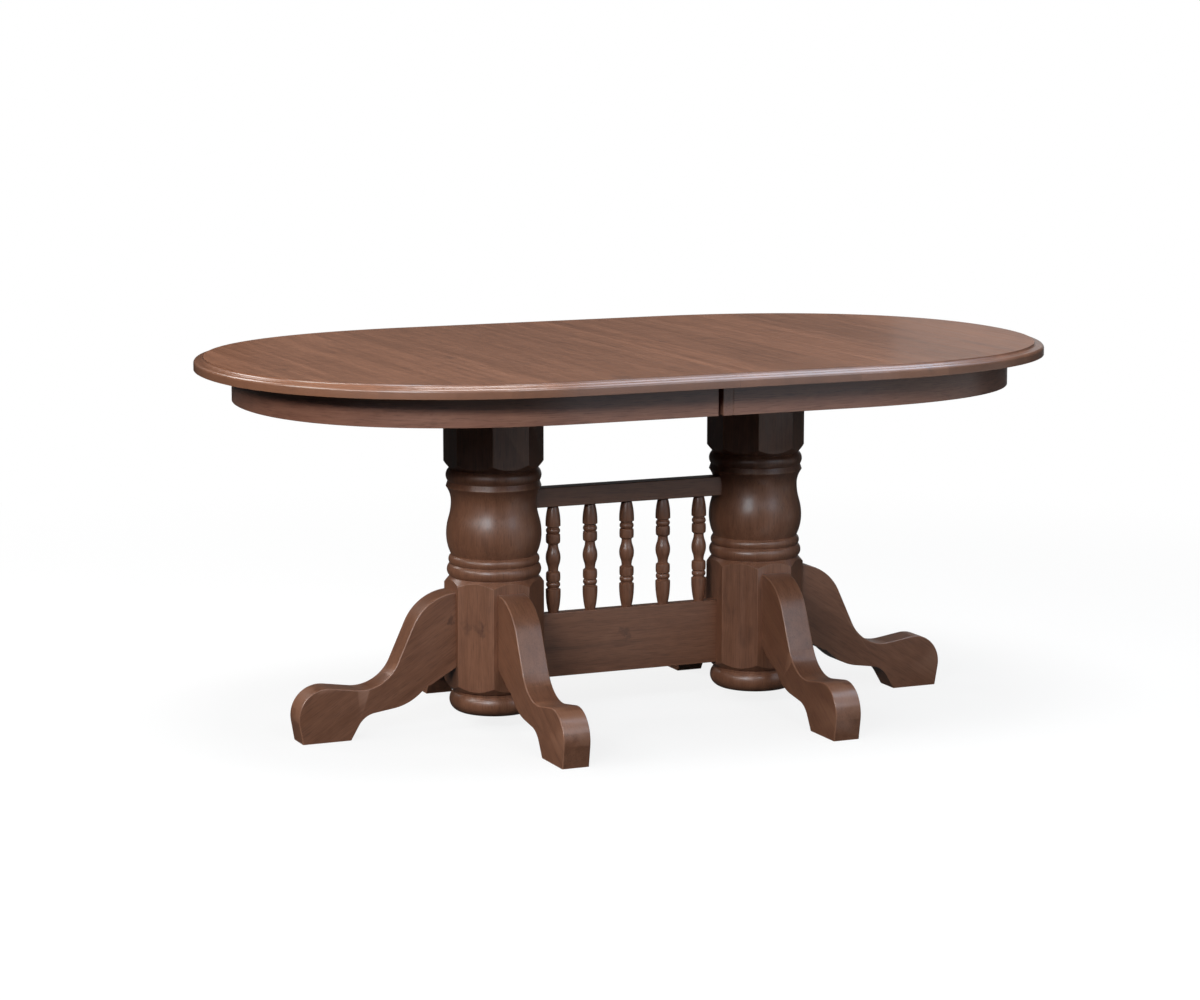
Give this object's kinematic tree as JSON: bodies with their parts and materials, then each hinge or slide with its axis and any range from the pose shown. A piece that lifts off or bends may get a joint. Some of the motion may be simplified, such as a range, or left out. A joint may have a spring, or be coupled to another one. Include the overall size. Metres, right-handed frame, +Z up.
{
  "type": "double pedestal dining table",
  "caption": "Oval extension dining table on turned octagonal pedestals with S-shaped legs and a spindle stretcher; the split top slides apart on geared slides.",
  "frame": {"origin": "on the floor under the middle of the table", "axes": "+X along the table to the right, -Y to the front, +Z up"},
  "size_m": [1.781, 1.06, 0.762],
  "materials": {
    "top_wood": "satin lacquer over walnut stain",
    "stained_wood": "satin lacquer over walnut stain",
    "slide_wood": "clear sealed hardwood",
    "dowel_wood": "plain hardwood",
    "steel": "zinc plated"
  },
  "bodies": {
    "base": {"column_left": "stained_wood", "column_right": "stained_wood", "plate_left": "slide_wood", "plate_right": "slide_wood", "leg_left_outer": "stained_wood", "leg_left_front": "stained_wood", "leg_left_back": "stained_wood", "leg_right_outer": "stained_wood", "leg_right_front": "stained_wood", "leg_right_back": "stained_wood", "leg_dowels": "dowel_wood", "plate_screws": "steel", "stretcher_board": "stained_wood", "stretcher_bar": "stained_wood", "spindle_1": "stained_wood", "spindle_2": "stained_wood", "spindle_3": "stained_wood", "spindle_4": "stained_wood", "spindle_5": "stained_wood", "rail_front": "slide_wood", "rail_back": "slide_wood", "rail_screws": "steel", "pinion_pins": "steel"},
    "left_half": {"top_left": "top_wood", "apron_left": "stained_wood", "seam_rail_left_front": "stained_wood", "seam_rail_left_back": "stained_wood", "glue_blocks_left": "slide_wood", "slide_left_front": "slide_wood", "slide_left_back": "slide_wood", "rack_left_front": "steel", "rack_left_back": "steel", "slide_screws_left": "steel", "seam_pins": "dowel_wood"},
    "right_half": {"top_right": "top_wood", "apron_right": "stained_wood", "seam_rail_right_front": "stained_wood", "seam_rail_right_back": "stained_wood", "glue_blocks_right": "slide_wood", "slide_right_front": "slide_wood", "slide_right_back": "slide_wood", "rack_right_front": "steel", "rack_right_back": "steel", "slide_screws_right": "steel"},
    "gear_front": {"pinion_front": "steel"},
    "gear_back": {"pinion_back": "steel"}
  },
  "joints": [
    {"name": "left_slide", "type": "slide", "parent": "base", "child": "left_half", "axis": [-1, 0, 0], "range_m": [0, 0.305]},
    {"name": "right_slide", "type": "slide", "parent": "base", "child": "right_half", "axis": [1, 0, 0], "range_m": [0, 0.305]},
    {"name": "gear_front_turn", "type": "hinge", "parent": "base", "child": "gear_front", "pos_m": [0, -0.165, 0.7266], "axis": [0, 0, -1], "range_deg": [0, 583]},
    {"name": "gear_back_turn", "type": "hinge", "parent": "base", "child": "gear_back", "pos_m": [0, 0.165, 0.7266], "axis": [0, 0, 1], "range_deg": [0, 583]}
  ],
  "couplings": [
    {"joint": "right_slide", "follows": "left_slide", "ratio": 1},
    {"joint": "gear_front_turn", "follows": "left_slide", "rad_per_m": 33.333},
    {"joint": "gear_back_turn", "follows": "left_slide", "rad_per_m": 33.333}
  ]
}
